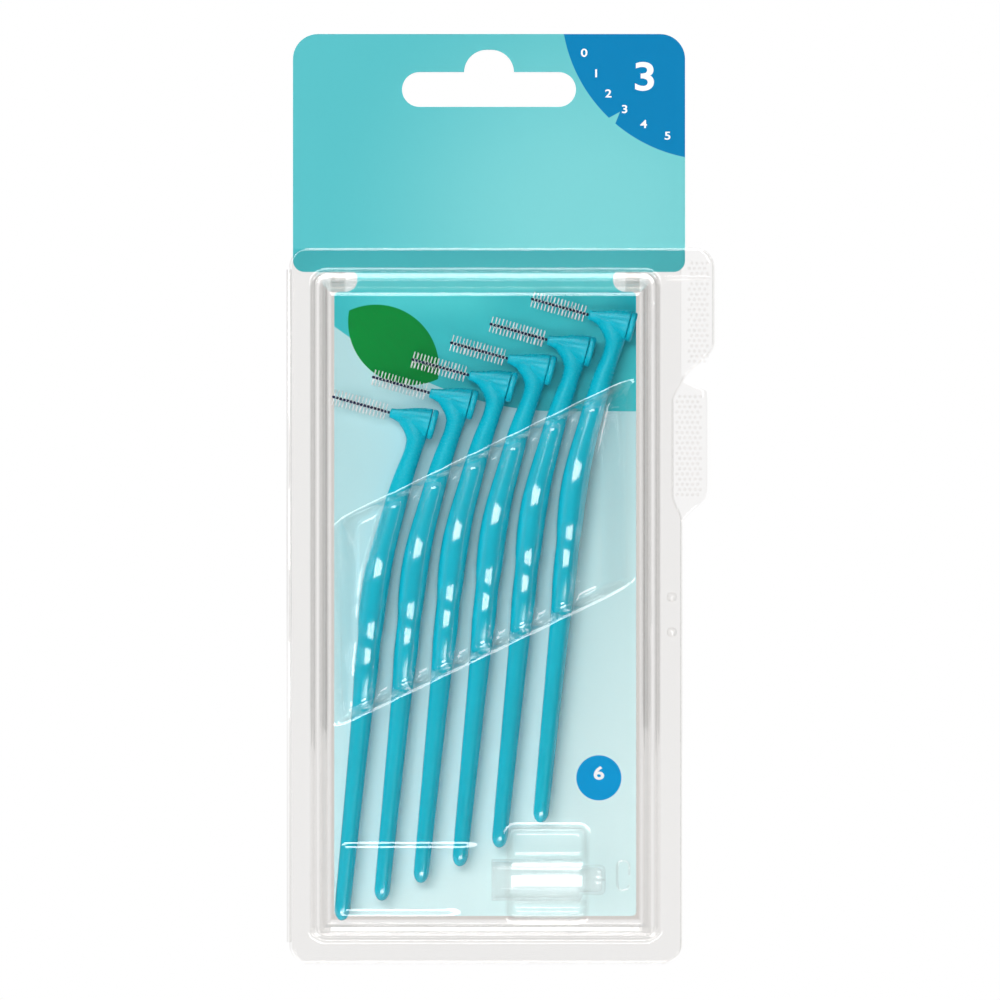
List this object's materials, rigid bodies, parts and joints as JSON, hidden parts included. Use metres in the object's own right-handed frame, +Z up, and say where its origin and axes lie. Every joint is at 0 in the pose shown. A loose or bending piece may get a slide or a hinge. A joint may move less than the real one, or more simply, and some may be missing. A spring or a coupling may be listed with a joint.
{
  "type": "interdental brush pack",
  "caption": "Hanging retail pack of angled interdental brushes: a die-cut hang card in a hinged clear clamshell, with twisted-wire brushes in a slanted row and a clear protective cap.",
  "frame": {"origin": "middle of the hang slot's lower opening, in the plane of the pack's front flange", "axes": "+X to the right as the pack hangs, +Y to the back of the pack, +Z up; the printed front faces -Y"},
  "size_m": [0.0785, 0.0115, 0.1708],
  "materials": {
    "printed_card": "printed coated board, satin",
    "clear_sheet": "clear thermoformed sheet, glossy",
    "clear_cap": "clear moulded plastic, glossy",
    "turquoise_plastic": "moulded plastic, glossy",
    "dark_wire": "coated steel wire, twisted",
    "white_filament": "nylon filament, translucent white"
  },
  "bodies": {
    "pack": {"hang_card": "printed_card", "front_shell": "clear_sheet", "protective_cap": "clear_cap", "brush_1_handle": "turquoise_plastic", "brush_1_head_plug": "turquoise_plastic", "brush_1_wire": "dark_wire", "brush_1_bristles": "white_filament", "brush_2_handle": "turquoise_plastic", "brush_2_head_plug": "turquoise_plastic", "brush_2_wire": "dark_wire", "brush_2_bristles": "white_filament", "brush_3_handle": "turquoise_plastic", "brush_3_head_plug": "turquoise_plastic", "brush_3_wire": "dark_wire", "brush_3_bristles": "white_filament", "brush_4_handle": "turquoise_plastic", "brush_4_head_plug": "turquoise_plastic", "brush_4_wire": "dark_wire", "brush_4_bristles": "white_filament", "brush_5_handle": "turquoise_plastic", "brush_5_head_plug": "turquoise_plastic", "brush_5_wire": "dark_wire", "brush_5_bristles": "white_filament", "brush_6_handle": "turquoise_plastic", "brush_6_head_plug": "turquoise_plastic", "brush_6_wire": "dark_wire", "brush_6_bristles": "white_filament"},
    "lid": {"back_lid": "clear_sheet"}
  },
  "joints": [
    {"name": "lid_hinge", "type": "hinge", "parent": "pack", "child": "lid", "pos_m": [-0.03676, 0.0003, -0.0955], "axis": [0, 0, 1], "range_deg": [0, 180]}
  ]
}
